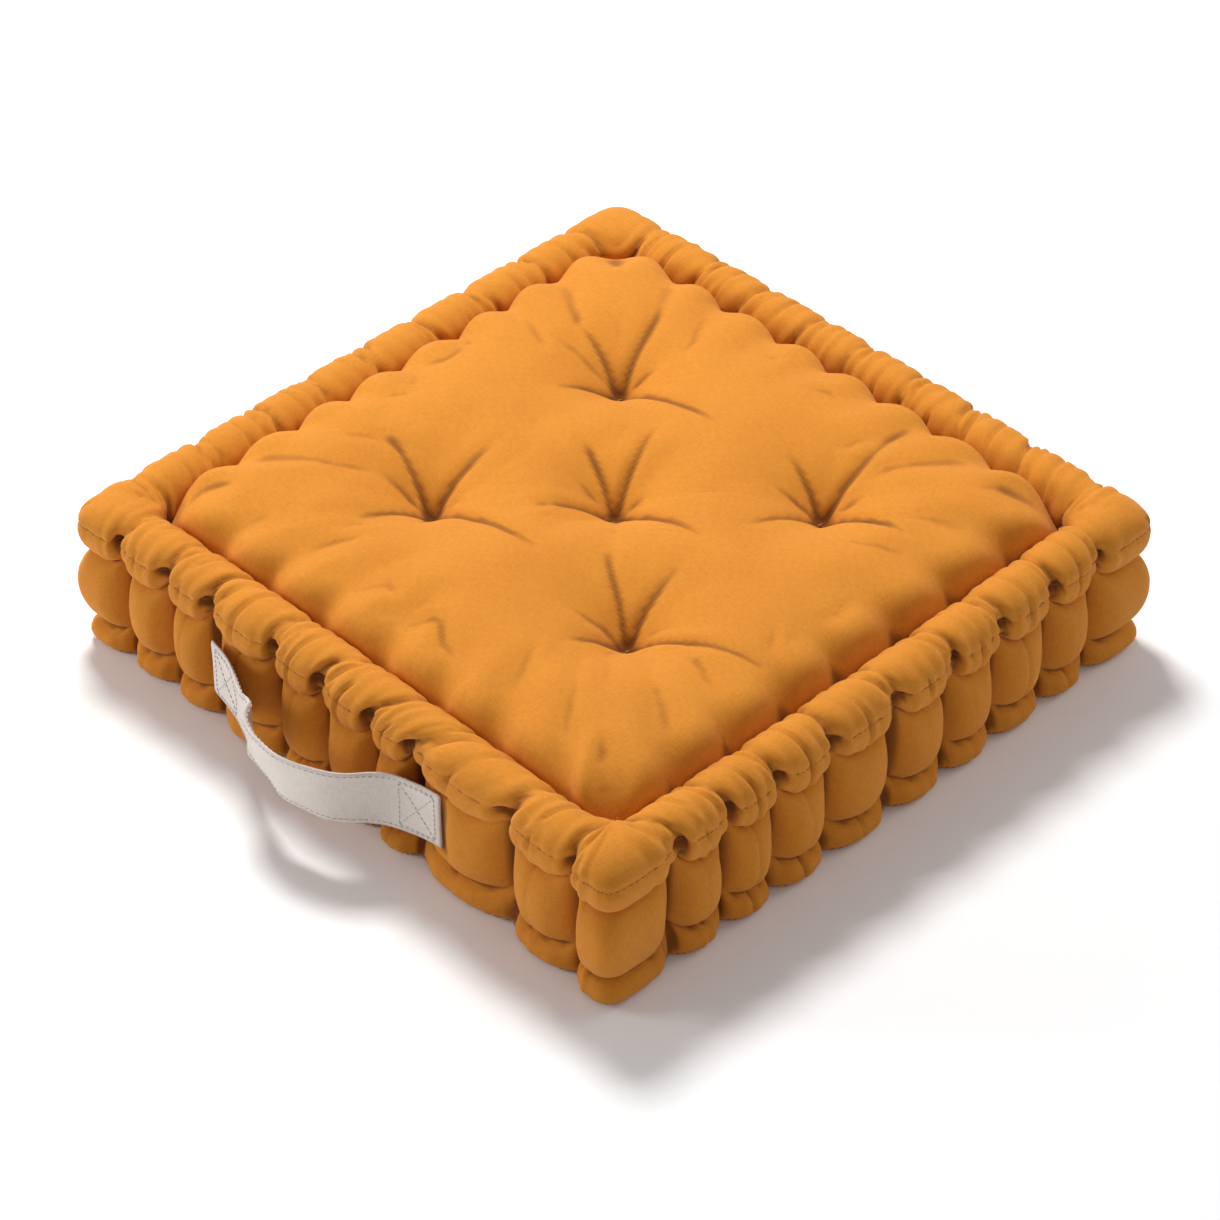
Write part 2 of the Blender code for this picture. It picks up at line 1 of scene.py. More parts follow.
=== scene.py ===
"""Looks of the tufted floor cushion: sewn cotton cover, roll edges, tufts and canvas handle."""
import math

import bpy
import numpy as np
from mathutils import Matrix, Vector


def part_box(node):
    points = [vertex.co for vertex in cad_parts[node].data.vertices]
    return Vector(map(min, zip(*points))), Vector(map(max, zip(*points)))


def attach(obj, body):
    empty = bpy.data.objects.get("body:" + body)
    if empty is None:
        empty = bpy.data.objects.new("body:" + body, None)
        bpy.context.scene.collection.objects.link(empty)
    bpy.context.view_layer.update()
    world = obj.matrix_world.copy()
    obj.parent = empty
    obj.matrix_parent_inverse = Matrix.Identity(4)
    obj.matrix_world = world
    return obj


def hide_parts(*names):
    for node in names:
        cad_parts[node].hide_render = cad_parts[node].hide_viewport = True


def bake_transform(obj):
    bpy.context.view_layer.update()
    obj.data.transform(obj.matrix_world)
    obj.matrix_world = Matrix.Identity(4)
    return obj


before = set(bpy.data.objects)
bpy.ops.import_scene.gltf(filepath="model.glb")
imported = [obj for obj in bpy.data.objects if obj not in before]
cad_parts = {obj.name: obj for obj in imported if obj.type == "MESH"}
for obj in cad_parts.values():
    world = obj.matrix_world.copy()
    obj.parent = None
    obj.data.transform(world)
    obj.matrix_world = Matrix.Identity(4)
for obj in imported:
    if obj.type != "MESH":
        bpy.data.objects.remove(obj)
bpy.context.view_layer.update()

# The cushion's own axes: origin under its middle, on the floor.
band_low, band_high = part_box("side_band")
CENTRE = np.array(((band_low[0] + band_high[0]) / 2, (band_low[1] + band_high[1]) / 2, 0.0))
HALF_SIDE = (band_high[0] - band_low[0]) / 2

# Mesh layout of the cover, in cells. Top and bottom are square grids whose rings run round them.
GRID = 120
MIDDLE = GRID // 2
RIM = 4 * GRID
ROLL_CELLS = 14
PINCH_CELLS = 12
ROLL_BASE_ROWS = 5
PILLOW_ROWS = 14
LOWER_ROLL_ROWS = 5
BAND_ROWS = ROLL_BASE_ROWS + PILLOW_ROWS + LOWER_ROLL_ROWS
PILLOW_END = ROLL_BASE_ROWS + PILLOW_ROWS
CELL = 0.00395

# The roll twine: nine pinches a side on the outside and on the panel side, in metres.
LAST_PINCH = 4
OUTER_PITCH = 0.0450
NOTCH_PITCH = 0.0475
CORNER_RADIUS = 0.012
GROOVE_CORNER_RADIUS = 0.024

# How far each corner sticks out past an even square, in metres, from the front left one on.
CORNER_EARS = (0.002, 0.001, -0.003, -0.001)
EAR_REACH = 0.055

# How far the middle of each side stands out past the square, in metres, from the handle side on.
SIDE_SWELL = (-0.002, 0.005, 0.005, 0.001)

# How far each pinch is off its even place, in millimetres: (outer side, panel side).
# The sides go round anticlockwise from the handle side. These shifts were worked out by a helper
# script from the photo, and don't come from the frame, whose pinches are even.
UNEVEN = (
    ((-8, -14, -21, -10, -15, -17, -30, 2, 12), (12, 10, 4, 3, 9, 11, 10, 21, 6)),
    ((11, 5, -1, -3, 5, 6, 3, 4, -2), (3, -1, -6, -9, -12, -11, -10, -6, -10)),
    ((1, 5, 5, -1, 1, -7, -4, -8, -4), (3, -1, 2, 2, -3, -7, -4, -9, -8)),
    ((9, 3, 4, 7, -1, 4, 1, -6, -2), (8, 9, 5, 0, 5, 0, -6, -2, -6)),
)

TUFT_SPACING = 0.082
# Column and row of each tuft, and how far it is off its even place, in metres. The offsets were
# measured in the photo: the frame's tufts stand on the even places.
TUFT_NAMES = {
    "centre": (0, 0, 0.001, 0.001),
    "front_left": (-1, -1, 0.006, 0.007),
    "front_right": (1, -1, 0.007, 0.006),
    "back_left": (-1, 1, 0.001, 0.004),
    "back_right": (1, 1, 0.007, 0.004),
}
TUFTS = [(column * TUFT_SPACING + x, row * TUFT_SPACING + y)
         for column, row, x, y in TUFT_NAMES.values()]

STUFF_FRAMES = 24
STUFF_PRESSURE = 4.0
MOST_SWELL = 0.009


def smooth(value):
    value = min(max(value, 0.0), 1.0)
    return value * value * (3 - 2 * value)


def ease_arc(share, sharpness=2.6):
    """Rise of a stuffed lobe away from its pinch: steep at first, then level."""
    share = min(max(share, 0.0), 1.0)
    return (1 - (1 - share) ** sharpness) ** 0.85


def path_half_length(inset, radius):
    return HALF_SIDE - inset - radius + radius * math.pi / 4


def turned(side, x, y):
    turn = side * math.pi / 2
    return x * math.cos(turn) - y * math.sin(turn), x * math.sin(turn) + y * math.cos(turn)


def path_point(side, along, inset, radius):
    """Plan position on the square at this inset, with its rounded corner."""
    straight = HALF_SIDE - inset - radius
    past = abs(along) - straight
    if past <= 0:
        return turned(side, along, inset - HALF_SIDE)
    angle = past / radius
    x = math.copysign(straight + radius * math.sin(angle), along)
    return turned(side, x, -(straight + radius * math.cos(angle)))


def eared(x, y):
    """Pull the corners out a little, as the filling does."""
    for number, ear in enumerate(CORNER_EARS):
        corner_x, corner_y = turned(number, -HALF_SIDE, -HALF_SIDE)
        away = math.hypot(x - corner_x, y - corner_y) / EAR_REACH
        pull = ear * math.exp(-away * away)
        x += math.copysign(pull * math.sqrt(0.5), corner_x)
        y += math.copysign(pull * math.sqrt(0.5), corner_y)
    for side, swell in enumerate(SIDE_SWELL):
        along, out = turned(-side, x, y)
        if -out > 0.12:
            middle = math.cos(0.5 * math.pi * min(1.0, abs(along) / HALF_SIDE))
            out -= swell * middle * smooth((-out - 0.12) / 0.07)
            x, y = turned(side, along, out)
    return x, y


def pinch_places(side, depth):
    """Along-side places of the nine pinches, from the seam (0) to the panel groove (1)."""
    outer_shift, inner_shift = UNEVEN[side]
    places = []
    for index in range(2 * LAST_PINCH + 1):
        step = index - LAST_PINCH
        outer = step * OUTER_PITCH + outer_shift[index] * 0.001
        inner = step * NOTCH_PITCH + inner_shift[index] * 0.001
        places.append(outer + (inner - outer) * depth)
    return places


def along_at(side, column, half_columns, depth, half_length):
    """Where a grid column crosses this ring, measured along the side from its middle."""
    columns = [-half_columns]
    places = [-half_length]
    for index, place in enumerate(pinch_places(side, depth)):
        pinch_column = (index - LAST_PINCH) * PINCH_CELLS
        if abs(pinch_column) < half_columns:
            columns.append(pinch_column)
            places.append(place)
    columns.append(half_columns)
    places.append(half_length)
    return float(np.interp(column, columns, places))


def pinch_share(column, half_columns):
    """0 on a pinch, 1 halfway between two and round the corner."""
    last = LAST_PINCH * PINCH_CELLS
    if half_columns <= last and half_columns - abs(column) < PINCH_CELLS / 2:
        return (half_columns - abs(column)) / (PINCH_CELLS / 2)
    if abs(column) >= last:
        return min(1.0, (abs(column) - last) / (PINCH_CELLS / 2))
    offset = abs(column) % PINCH_CELLS
    return min(offset, PINCH_CELLS - offset) / (PINCH_CELLS / 2)


def on_full_side(side, column):
    """A pinch has a full lobe that laps over it, and on its other side one that tapers to it."""
    last = LAST_PINCH * PINCH_CELLS
    after = column > 0 if abs(column) > last else (column + last) % PINCH_CELLS < PINCH_CELLS / 2
    return after == (side in (1, 2))


def roll_waist(side, column, half_columns):
    """1 in a pinch of the roll, 0 where its lobe is full. The two back sides are drawn in less."""
    share = pinch_share(column, half_columns)
    firm = 0.62 if side in (2, 3) else 1.0
    if on_full_side(side, column):
        return firm * (1 - ease_arc(share * 2.2, 2.2))
    if abs(column) > LAST_PINCH * PINCH_CELLS:
        return firm * (1 - ease_arc(share * 1.5, 2.0))
    return firm * (1 - ease_arc(share * 1.05, 1.9))


def pinch_gap(side, column, half_columns):
    """Distance from the pinch line along the cloth, negative on its full side."""
    gap = pinch_share(column, half_columns) * PINCH_CELLS / 2 * CELL
    return -gap if on_full_side(side, column) else gap


def roll_profile(across, waist):
    """Inset and height on the roll: across runs from the seam (0) to the panel groove (1)."""
    ends = abs(2 * across - 1)
    pull = waist * (0.13 + 0.87 * ends ** 2.4)
    centre_inset = 0.0162 + 0.0008 * waist
    centre_height = 0.0898 - 0.0008 * waist
    radius = 0.0178 - 0.0062 * pull
    start = math.radians(176 - 4 * waist)
    end = math.radians(-24)
    angle = start + (end - start) * across
    inward = 1.0 if angle > math.pi / 2 else 1.05 - 0.05 * waist
    inset = centre_inset + radius * math.cos(angle) * inward
    height = centre_height + radius * math.sin(angle)
    notch = waist * smooth((across - 0.75) / 0.25)
    return inset + 0.0026 * notch, height - 0.0052 * notch


def bezier(points, share):
    points = [np.array(point) for point in points]
    while len(points) > 1:
        points = [a + (b - a) * share for a, b in zip(points, points[1:])]
    return points[0]


def band_profile(row, share, waist):
    """Inset and height on the side band: row 0 is the top seam, the last row the bottom seam."""
    lobe = ease_arc(share)
    seam = np.array(roll_profile(0.0, waist))
    groove = np.array((0.0130 - 0.0030 * lobe, 0.0835 - 0.0130 * lobe))
    lower = np.array((0.0190 - 0.0100 * lobe, 0.0275 - 0.0100 * lobe))
    bottom = np.array((0.0120 - 0.0075 * lobe, 0.0040 - 0.0032 * lobe))
    if row <= ROLL_BASE_ROWS:
        beside = np.array((seam[0] - 0.0012 * lobe, seam[1] * 0.55 + groove[1] * 0.45))
        under = np.array((seam[0] + 0.0015 * lobe, groove[1] - 0.0035 * lobe))
        return bezier((seam, beside, under, groove), row / ROLL_BASE_ROWS)
    if row <= PILLOW_END:
        out = 0.0210 - 0.0290 * lobe
        high = np.array((out, groove[1] - 0.003))
        low = np.array((out, lower[1] + 0.006))
        return bezier((groove, high, low, lower), (row - ROLL_BASE_ROWS) / PILLOW_ROWS)
    out = 0.0150 - 0.0175 * lobe
    ahead = (row - PILLOW_END) / LOWER_ROLL_ROWS
    return bezier((lower, (out, lower[1] - 0.002), (out, 0.003), bottom), ahead)


def tuft_distance(x, y):
    return min(math.hypot(x - tuft_x, y - tuft_y) for tuft_x, tuft_y in TUFTS)


def tuft_pull(x, y):
    """How far the tufts draw the panel down, with the creases that run out from each."""
    pull = 0.0
    for number, (tuft_x, tuft_y) in enumerate(TUFTS):
        away = math.hypot(x - tuft_x, y - tuft_y)
        angle = math.atan2(y - tuft_y, x - tuft_x)
        crease = math.cos(4 * angle + 0.5 * math.sin(number * 3.0))
        crease += 0.6 * math.cos(3 * angle + number * 2.1) + 0.3 * math.cos(7 * angle + number)
        reach = away / 0.022
        pull += 0.0180 * math.exp(-away / 0.0100) + 0.0165 * math.exp(-(away / 0.036) ** 1.5)
        pull += 0.0005 * crease * reach * math.exp(1 - reach)
    return pull


def long_folds(x, y):
    """Soft folds across the panel from the handle side."""
    from_handle = max(0.0, y + HALF_SIDE)
    reach = math.exp(-(from_handle / 0.30) ** 2) * smooth((0.10 - x) / 0.12)
    return 0.0008 * reach * math.cos(2 * math.pi * (x + 0.03 * math.sin(y * 14)) / 0.045)


def panel_height(x, y, share, rim_height, rim_distance):
    """Crowned panel: drawn down at the tufts, and to the roll's groove at its rim."""
    crown = 0.1172 + 0.0010 * math.cos(x * 7) * math.cos(y * 7) + long_folds(x, y)
    notch = (1 - smooth(share)) ** 1.5
    crown -= notch * (0.0085 * math.exp(-rim_distance / 0.014)
                      + 0.0018 * math.exp(-rim_distance / 0.060))
    crown -= 0.0040 * math.exp(-rim_distance / 0.022)
    lift = ease_arc(rim_distance / (0.018 + 0.006 * notch), 2.4)
    return rim_height + (crown - tuft_pull(x, y) - rim_height) * lift


def grid_side(i, j):
    """Side, column and ring of a point of the top or bottom grid."""
    ring = min(i, j, GRID - i, GRID - j)
    if j == ring and i < GRID - ring:
        return 0, i - MIDDLE, ring
    if i == GRID - ring and j < GRID - ring:
        return 1, j - MIDDLE, ring
    if j == GRID - ring and i > ring:
        return 2, MIDDLE - i, ring
    return 3, MIDDLE - j, ring


def ring_radius(depth):
    return CORNER_RADIUS + (GROOVE_CORNER_RADIUS - CORNER_RADIUS) * depth


def roll_point(side, column, ring, waist):
    depth = ring / ROLL_CELLS
    inset, height = roll_profile(depth, waist)
    radius = ring_radius(depth)
    half_length = path_half_length(inset, radius)
    along = along_at(side, column, MIDDLE - ring, depth, half_length)
    x, y = eared(*path_point(side, along, inset, radius))
    return x, y, height


def inner_along(side, column, ring, inset, radius):
    """Along-side place inside the groove: it leaves the notches and evens out."""
    half_columns = MIDDLE - ring
    if half_columns == 0:
        return 0.0, 1.0
    half_length = path_half_length(inset, radius)
    rim_columns = MIDDLE - ROLL_CELLS
    rim_inset, _ = roll_profile(1.0, 0.0)
    rim_length = path_half_length(rim_inset, GROOVE_CORNER_RADIUS)
    rim_column = column / half_columns * rim_columns
    rim_along = along_at(side, rim_column, rim_columns, 1.0, rim_length)
    even = column / half_columns
    inward = (ring - ROLL_CELLS) / rim_columns
    blend = even + (rim_along / rim_length - even) * (1 - inward) ** 4
    return blend * half_length, pinch_share(rim_column, rim_columns)


def panel_point(side, column, ring):
    inward = (ring - ROLL_CELLS) / (MIDDLE - ROLL_CELLS)
    rim_columns = MIDDLE - ROLL_CELLS
    rim_column = column * rim_columns / max(MIDDLE - ring, 1)
    rim_inset, rim_height = roll_profile(1.0, roll_waist(side, rim_column, rim_columns))
    inset = rim_inset + (HALF_SIDE - rim_inset) * inward
    radius = GROOVE_CORNER_RADIUS * (1 - inward) ** 2 + 1e-6
    along, share = inner_along(side, column, ring, inset, radius)
    bulge = 0.0060 * ease_arc(share) * math.exp(-((inset - rim_inset - 0.009) / 0.008) ** 2)
    x, y = path_point(side, along, inset - bulge, radius)
    return x, y, panel_height(x, y, share, rim_height, inset - rim_inset)


def band_point(side, column, row, share, waist):
    inset, height = band_profile(row, share, waist)
    half_length = path_half_length(inset, CORNER_RADIUS)
    along = along_at(side, column, MIDDLE, 0.0, half_length)
    x, y = eared(*path_point(side, along, inset, CORNER_RADIUS))
    return x, y, max(height, 0.0008)


def bottom_point(side, column, ring):
    """Under side: pressed flat on the floor, with the squashed roll's groove and five tufts."""
    seam_inset, seam_height = band_profile(BAND_ROWS, pinch_share(column, MIDDLE), 0.0)
    spread = ring / MIDDLE
    inset = seam_inset * (1 - spread) ** 8 + HALF_SIDE * spread
    radius = CORNER_RADIUS * (1 - spread) ** 2 + 1e-6
    half_length = path_half_length(inset, radius)
    rim_length = path_half_length(seam_inset, CORNER_RADIUS)
    half_columns = max(MIDDLE - ring, 1)
    even = column / half_columns
    rim = along_at(side, even * MIDDLE, MIDDLE, 0.0, rim_length) / rim_length
    along = (even + (rim - even) * (1 - spread) ** 6) * half_length
    x, y = eared(*path_point(side, along, inset, radius))
    lobe = ease_arc(pinch_share(even * MIDDLE, MIDDLE))
    groove = math.exp(-((inset - 0.033) / 0.0048) ** 2) * (0.011 - 0.004 * lobe)
    edge = (seam_height - 0.0008) * math.exp(-(inset - seam_inset) / 0.003)
    dimple = 0.010 * math.exp(-tuft_distance(x, y) / 0.011)
    return x, y, 0.0008 + groove + edge + dimple


def ring_corners(ring):
    """Grid places of a ring, anticlockwise from its first corner."""
    low = ring
    high = GRID - ring
    steps = range(high - low)
    places = [(low + k, low) for k in steps]
    places += [(high, low + k) for k in steps]
    places += [(high - k, high) for k in steps]
    return places + [(low, high - k) for k in steps]


class Cover:
    """Points, faces and labels of the cover, before and after its stuffing."""

    def __init__(self):
        self.points = []
        self.uncut = []
        self.labels = []
        self.faces = []
        self.cloth = []
        self.add_top()
        self.add_band()
        self.sim_count = len(self.points)
        self.sim_faces = len(self.faces)
        self.add_bottom()

    def add(self, point, uncut, label):
        self.points.append(point)
        self.uncut.append(uncut)
        self.labels.append(label)
        return len(self.points) - 1

    def add_face(self, corners, cloth):
        self.faces.append(corners)
        self.cloth.append(cloth)

    def add_grid_faces(self, index, shift, flip):
        for i in range(GRID):
            for j in range(GRID):
                corners = [(i, j), (i + 1, j), (i + 1, j + 1), (i, j + 1)]
                if flip:
                    corners.reverse()
                self.add_face([index[corner] for corner in corners],
                              [(a * CELL + shift, b * CELL) for a, b in corners])

    def add_top(self):
        index = {}
        for i in range(GRID + 1):
            for j in range(GRID + 1):
                side, column, ring = grid_side(i, j)
                if ring <= ROLL_CELLS:
                    share = pinch_share(column, MIDDLE - ring)
                    waist = roll_waist(side, column, MIDDLE - ring)
                    point = roll_point(side, column, ring, waist)
                    uncut = roll_point(side, column, ring, 0.0)
                    label = ("roll", side, column, ring, share)
                else:
                    point = uncut = panel_point(side, column, ring)
                    label = ("panel", side, column, ring, 1.0)
                index[(i, j)] = self.add(point, uncut, label)
        self.add_grid_faces(index, 0.0, False)
        self.top_index = index
        self.seam = [index[corner] for corner in ring_corners(0)]

    def add_band(self):
        previous = self.seam
        for row in range(1, BAND_ROWS + 1):
            current = []
            for step in range(RIM):
                side, column = divmod(step, GRID)
                column -= MIDDLE
                share = pinch_share(column, MIDDLE)
                waist = roll_waist(side, column, MIDDLE)
                point = band_point(side, column, row, share, waist)
                uncut = band_point(side, column, row, 1.0, 0.0)
                current.append(self.add(point, uncut, ("band", side, column, row, share)))
            for step in range(RIM):
                after = (step + 1) % RIM
                left = 2.0 + step * CELL
                right = left + CELL
                up = -(row - 1) * CELL
                self.add_face([previous[step], current[step], current[after], previous[after]],
                              [(left, up), (left, up - CELL), (right, up - CELL), (right, up)])
            previous = current
        self.bottom_seam = previous

    def add_bottom(self):
        index = {}
        for i in range(GRID + 1):
            for j in range(GRID + 1):
                side, column, ring = grid_side(i, j)
                if ring > 0:
                    point = bottom_point(side, column, ring)
                    index[(i, j)] = self.add(point, point, ("bottom", side, column, ring, 1.0))
        for corner, number in zip(ring_corners(0), self.bottom_seam):
            index[corner] = number
        self.add_grid_faces(index, 1.0, True)
        self.bottom_index = index

    def hold(self, number):
        """How firmly the twine, the tufts and the floor hold this point of the cover."""
        kind, _, _, ring, share = self.labels[number]
        pinch = share < 0.01
        if kind == "panel":
            x, y, _ = self.points[number]
            return 1.0 if tuft_distance(x, y) < 0.003 else 0.0
        if kind == "roll":
            if ring == ROLL_CELLS:
                return 1.0 if share < 0.2 else 0.55
            if ring <= 1 or ring >= ROLL_CELLS - 1:
                return 1.0 if pinch else 0.1
            return 0.30 if pinch else 0.03
        if ring in (ROLL_BASE_ROWS, PILLOW_END):
            return 1.0 if share < 0.2 else 0.6
        if ring >= BAND_ROWS - 1:
            return 1.0
        return 0.85 if pinch else 0.03

    def stuff(self):
        """Blow the cover up like filling does, held by its twine."""
        count = self.sim_count
        before = np.array(self.points[:count])
        centre = before[self.bottom_seam].mean(axis=0)
        fan = [(self.bottom_seam[k], count, self.bottom_seam[(k + 1) % RIM]) for k in range(RIM)]
        mesh = bpy.data.meshes.new("stuffing")
        mesh.from_pydata(np.vstack([before, centre]).tolist(), [], self.faces[:self.sim_faces] + fan)
        piece = bpy.data.objects.new("stuffing", mesh)
        bpy.context.scene.collection.objects.link(piece)
        held = piece.vertex_groups.new(name="held")
        spare = piece.vertex_groups.new(name="spare")
        for number in range(count):
            held.add([number], self.hold(number), "REPLACE")
            spare.add([number], 1.0 if self.labels[number][0] == "panel" else 0.35, "REPLACE")
        held.add([count], 1.0, "REPLACE")
        piece.shape_key_add(name="Basis")
        cut = piece.shape_key_add(name="cut")
        cut.data.foreach_set("co", np.vstack([self.uncut[:count], centre]).ravel())
        add_cloth(piece, cut)
        scene = bpy.context.scene
        for number in range(1, STUFF_FRAMES + 1):
            scene.frame_set(number)
        evaluated = piece.evaluated_get(bpy.context.evaluated_depsgraph_get())
        after = np.empty((count + 1) * 3)
        evaluated.data.vertices.foreach_get("co", after)
        scene.frame_set(1)
        bpy.data.objects.remove(piece)
        move = after.reshape(-1, 3)[:count] - before
        length = np.maximum(np.linalg.norm(move, axis=1, keepdims=True), 1e-9)
        moved = before + move / length * MOST_SWELL * np.tanh(length / MOST_SWELL)
        self.points[:count] = [tuple(point) for point in moved]


def add_cloth(piece, cut):
    cloth = piece.modifiers.new("cloth", "CLOTH")
    settings = cloth.settings
    settings.quality = 6
    settings.mass = 0.15
    settings.air_damping = 2.0
    settings.tension_stiffness = 30
    settings.compression_stiffness = 25
    settings.shear_stiffness = 8
    settings.bending_stiffness = 0.2
    settings.tension_damping = 10
    settings.compression_damping = 10
    settings.shear_damping = 10
    settings.vertex_group_mass = "held"
    settings.pin_stiffness = 2.0
    settings.rest_shape_key = cut
    settings.use_pressure = True
    settings.uniform_pressure_force = STUFF_PRESSURE
    settings.vertex_group_shrink = "spare"
    settings.shrink_min = 0.0
    settings.shrink_max = -0.04
    settings.effector_weights.gravity = 0
    cloth.collision_settings.use_collision = False
    cloth.point_cache.frame_end = STUFF_FRAMES


# The handle: a canvas strip standing on edge, sewn flat to the side at both ends.
STRAP_HALF_WIDTH = 0.020
STRAP_HALF_THICKNESS = 0.0010
STRAP_HEIGHT = 0.050
STRAP_SECTIONS = 110
PATCH_LENGTH = 0.032

# Plan points of its middle line in metres, and its lean in degrees (top edge outwards). A helper
# script worked them out from the photo. The frame's strap ends lie up to 12.5 mm from these.
STRAP_ROUTE = (
    (0.0865, -0.2195, 0), (0.0712, -0.2215, 0), (0.0558, -0.2255, 0), (0.0462, -0.2318, 2),
    (0.0352, -0.2424, 4), (0.0232, -0.2506, 4), (0.0078, -0.2554, 8), (-0.0094, -0.2575, 10),
    (-0.0267, -0.2549, 13), (-0.0400, -0.2493, 8), (-0.0486, -0.2432, -4), (-0.0573, -0.2394, 4),
    (-0.0726, -0.2319, 3), (-0.0879, -0.2273, 0), (-0.1032, -0.2236, 0),
)


def smooth_line(points, count):
    """Evenly spaced points on a Catmull-Rom curve through the given ones."""
    points = np.array(points, dtype=float)
    ends = np.vstack([2 * points[0] - points[1], points, 2 * points[-1] - points[-2]])
    fine = []
    for k in range(1, len(ends) - 2):
        a, b, c, d = ends[k - 1:k + 3]
        for t in np.linspace(0, 1, 24, endpoint=False):
            fine.append(0.5 * (2 * b + (c - a) * t + (2 * a - 5 * b + 4 * c - d) * t ** 2
                               + (3 * b - a - 3 * c + d) * t ** 3))
    fine = np.array(fine + [points[-1]])
    steps = np.linalg.norm(np.diff(fine[:, :2], axis=0), axis=1)
    travelled = np.concatenate([[0], np.cumsum(steps)])
    wanted = np.linspace(0, travelled[-1], count)
    columns = [np.interp(wanted, travelled, fine[:, k]) for k in range(fine.shape[1])]
    return np.array(columns).T, travelled[-1]


STRAP_LINE, STRAP_LENGTH = smooth_line(STRAP_ROUTE, STRAP_SECTIONS)


def strap_frame(travel):
    """Middle point, run, outward and upward directions at a distance from the right end."""
    place = travel / STRAP_LENGTH * (STRAP_SECTIONS - 1)
    k = min(int(place), STRAP_SECTIONS - 2)
    here = STRAP_LINE[k] + (STRAP_LINE[k + 1] - STRAP_LINE[k]) * (place - k)
    run = STRAP_LINE[min(k + 2, STRAP_SECTIONS - 1)] - STRAP_LINE[max(k - 1, 0)]
    run = np.array((run[0], run[1], 0.0))
    run /= np.linalg.norm(run)
    out = np.array((-run[1], run[0], 0.0))
    if out[1] > 0:
        out = -out
    lean = math.radians(here[2])
    up = np.array((0, 0, 1.0)) * math.cos(lean) + out * math.sin(lean)
    out = out * math.cos(lean) - np.array((0, 0, 1.0)) * math.sin(lean)
    return np.array((here[0], here[1], STRAP_HEIGHT)), run, out, up


def strap_point(travel, width, lift):
    """A point on the strap: width runs from the bottom edge (-1) to the top edge (1)."""
    middle, run, out, up = strap_frame(travel)
    loose = smooth(travel / 0.05) * smooth((STRAP_LENGTH - travel) / 0.05)
    cup = 0.0016 * loose * (width * width - 0.4)
    ripple = 0.0007 * math.sin(travel * 130 + width * 2.0) * math.cos(width * 1.5 + travel * 41)
    side = STRAP_HALF_THICKNESS + cup + ripple * (0.35 + 0.65 * loose)
    return middle + up * width * STRAP_HALF_WIDTH + out * (side - STRAP_HALF_THICKNESS + lift)


def build_strap(material):
    """Closed strip with rounded edges, on a grid that runs round its section."""
    across = 14
    edge = [(-1 + 2 * k / across, 1) for k in range(across + 1)]
    edge += [(1 - 2 * k / across, -1) for k in range(across + 1)]
    points = []
    for k in range(STRAP_SECTIONS):
        travel = STRAP_LENGTH * k / (STRAP_SECTIONS - 1)
        for width, face in edge:
            fold = 1.0 + 0.25 * math.exp(-((abs(width) - 0.93) / 0.05) ** 2)
            rounding = 1.0 if abs(width) < 0.999 else 0.45
            lift = face * STRAP_HALF_THICKNESS * fold * rounding
            points.append(strap_point(travel, width, lift))
    size = len(edge)
    faces = []
    for k in range(STRAP_SECTIONS - 1):
        for n in range(size):
            a = k * size + n
            b = k * size + (n + 1) % size
            faces.append((a, b, b + size, a + size))
    faces.append(tuple(reversed(range(size))))
    faces.append(tuple(range(len(points) - size, len(points))))
    strap = new_piece("strap", points, faces, material)
    layer = strap.data.uv_layers.new(name="cloth")
    for loop in strap.data.loops:
        section, n = divmod(loop.vertex_index, size)
        travel = STRAP_LENGTH * section / (STRAP_SECTIONS - 1)
        layer.data[loop.index].uv = (travel, edge[n][0] * STRAP_HALF_WIDTH + edge[n][1] * 0.1)
    return strap


class Stitches:
    """Short thread runs, gathered into one mesh."""

    SIDES = 6

    def __init__(self, radius):
        self.radius = radius
        self.points = []
        self.faces = []

    def add(self, start, end, out):
        start = np.array(start, dtype=float)
        end = np.array(end, dtype=float)
        run = end - start
        length = np.linalg.norm(run)
        run /= length
        out = np.array(out) - run * np.dot(out, run)
        out /= np.linalg.norm(out)
        across = np.cross(run, out)
        first = len(self.points)
        for share, size, sink in ((0.0, 0.35, 1.0), (0.15, 0.85, 0.25), (0.5, 1.0, 0.0),
                                  (0.85, 0.85, 0.25), (1.0, 0.35, 1.0)):
            middle = start + run * length * share - out * self.radius * sink
            for k in range(self.SIDES):
                angle = 2 * math.pi * k / self.SIDES
                ring = across * math.cos(angle) + out * math.sin(angle)
                self.points.append(middle + ring * self.radius * size)
        for k in range(4):
            for n in range(self.SIDES):
                a = first + k * self.SIDES + n
                b = first + k * self.SIDES + (n + 1) % self.SIDES
                self.faces.append((a, b, b + self.SIDES, a + self.SIDES))
        self.faces.append(tuple(first + n for n in reversed(range(self.SIDES))))
        self.faces.append(tuple(first + 4 * self.SIDES + n for n in range(self.SIDES)))

    def run_along(self, place, length, pitch, fill=0.7):
        """Stitches along a line: place(distance) gives a point and the way out of the cloth."""
        count = max(2, round(length / pitch))
        for k in range(count):
            start = (k + (1 - fill) / 2) * length / count
            end = start + fill * length / count
            first, out = place(start)
            last, _ = place(end)
            self.add(first, last, out)

    def build(self, name, material):
        return new_piece(name, self.points, self.faces, material)


